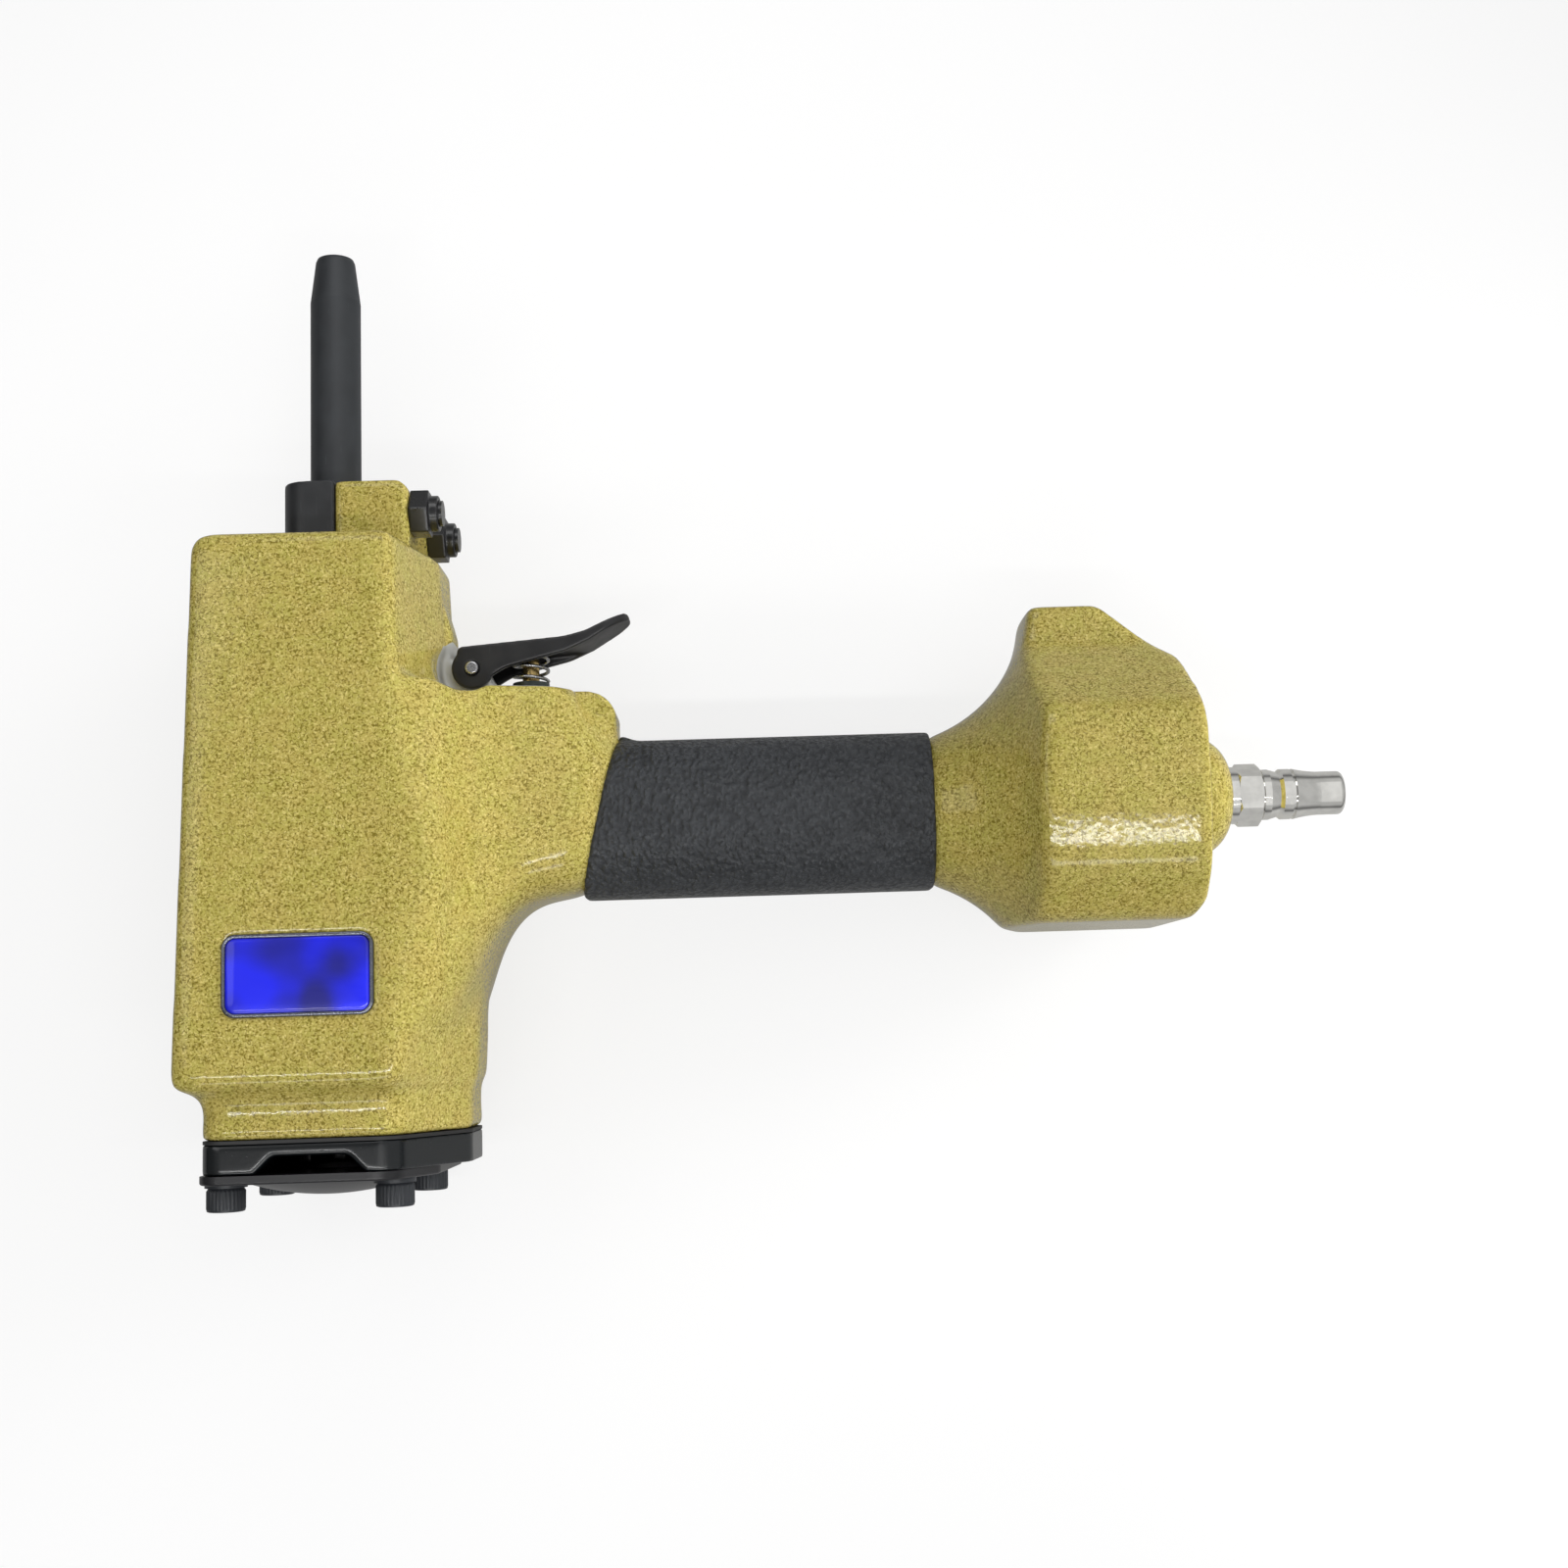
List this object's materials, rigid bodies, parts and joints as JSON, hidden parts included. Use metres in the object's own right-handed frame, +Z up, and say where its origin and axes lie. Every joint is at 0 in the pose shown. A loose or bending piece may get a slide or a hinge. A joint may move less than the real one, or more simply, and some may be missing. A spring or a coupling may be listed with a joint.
{
  "type": "pneumatic nail puller",
  "caption": "Hand-held air nail puller: painted cast body with rubber grip, nozzle tube, trigger lever, cap with exhaust, and an air plug at the tail.",
  "frame": {"origin": "on the surface that the tool lies on, under the middle of its box", "axes": "+X along the handle to the air plug, +Y along the cylinder to the nozzle, +Z up, across the tool"},
  "size_m": [0.2674, 0.2264, 0.0765],
  "materials": {
    "hammer_paint": "gloss hammertone paint on a casting",
    "grip_rubber": "grained",
    "seal_rubber": "smooth",
    "chrome_plug": "bright",
    "gloss_black": "gloss black paint",
    "black_steel": "black oxide, satin",
    "bare_steel": "ground",
    "bare_aluminium": "turned",
    "valve_plastic": "satin",
    "brass_stem": "turned",
    "blue_plate": "gloss anodised"
  },
  "bodies": {
    "tool": {"body_casting": "hammer_paint", "inlet_cap": "hammer_paint", "grip_sleeve": "grip_rubber", "inlet_seal": "seal_rubber", "air_plug": "chrome_plug", "cylinder_cap": "gloss_black", "cap_gasket": "seal_rubber", "exhaust_cover": "gloss_black", "cap_screws": "black_steel", "cap_washers": "black_steel", "nose_plate": "black_steel", "nozzle_tube": "black_steel", "nose_studs": "black_steel", "nose_nuts": "black_steel", "driver_guide": "bare_steel", "cylinder_sleeve": "bare_aluminium", "sleeve_seals": "seal_rubber", "return_band": "seal_rubber", "bumper": "seal_rubber", "head_valve_spring": "bare_steel", "exhaust_seal": "seal_rubber", "trigger_pin": "bare_steel", "trigger_spring": "bare_steel", "valve_bushing": "valve_plastic", "bushing_seals": "seal_rubber", "valve_seat": "valve_plastic", "valve_spring": "bare_steel", "nameplate": "blue_plate"},
    "trigger": {"trigger_lever": "black_steel"},
    "stem": {"valve_stem": "brass_stem"},
    "piston": {"piston": "bare_aluminium", "piston_seal": "seal_rubber", "driver_rod": "bare_steel", "driver_nut": "bare_steel"},
    "head_valve": {"head_valve": "valve_plastic", "head_valve_face": "seal_rubber"}
  },
  "joints": [
    {"name": "trigger_pull", "type": "hinge", "parent": "tool", "child": "trigger", "pos_m": [-0.07142, 0.0091, 0.038], "axis": [0, 0, -1], "range_deg": [0, 12], "stiffness_Nm_per_rad": 0.05, "springref_deg": -14.32, "deforming": ["trigger_spring"]},
    {"name": "stem_press", "type": "slide", "parent": "tool", "child": "stem", "axis": [0, -1, 0], "range_m": [0, 0.0029], "stiffness_N_per_m": 20, "springref_m": -0.003, "deforming": ["valve_spring"]},
    {"name": "piston_stroke", "type": "slide", "parent": "tool", "child": "piston", "axis": [0, 1, 0], "range_m": [0, 0.066]},
    {"name": "head_valve_lift", "type": "slide", "parent": "tool", "child": "head_valve", "axis": [0, -1, 0], "range_m": [0, 0.004], "stiffness_N_per_m": 100, "springref_m": -0.006, "deforming": ["head_valve_spring"]}
  ],
  "couplings": [
    {"joint": "stem_press", "follows": "trigger_pull", "m_per_rad": 0.013}
  ]
}
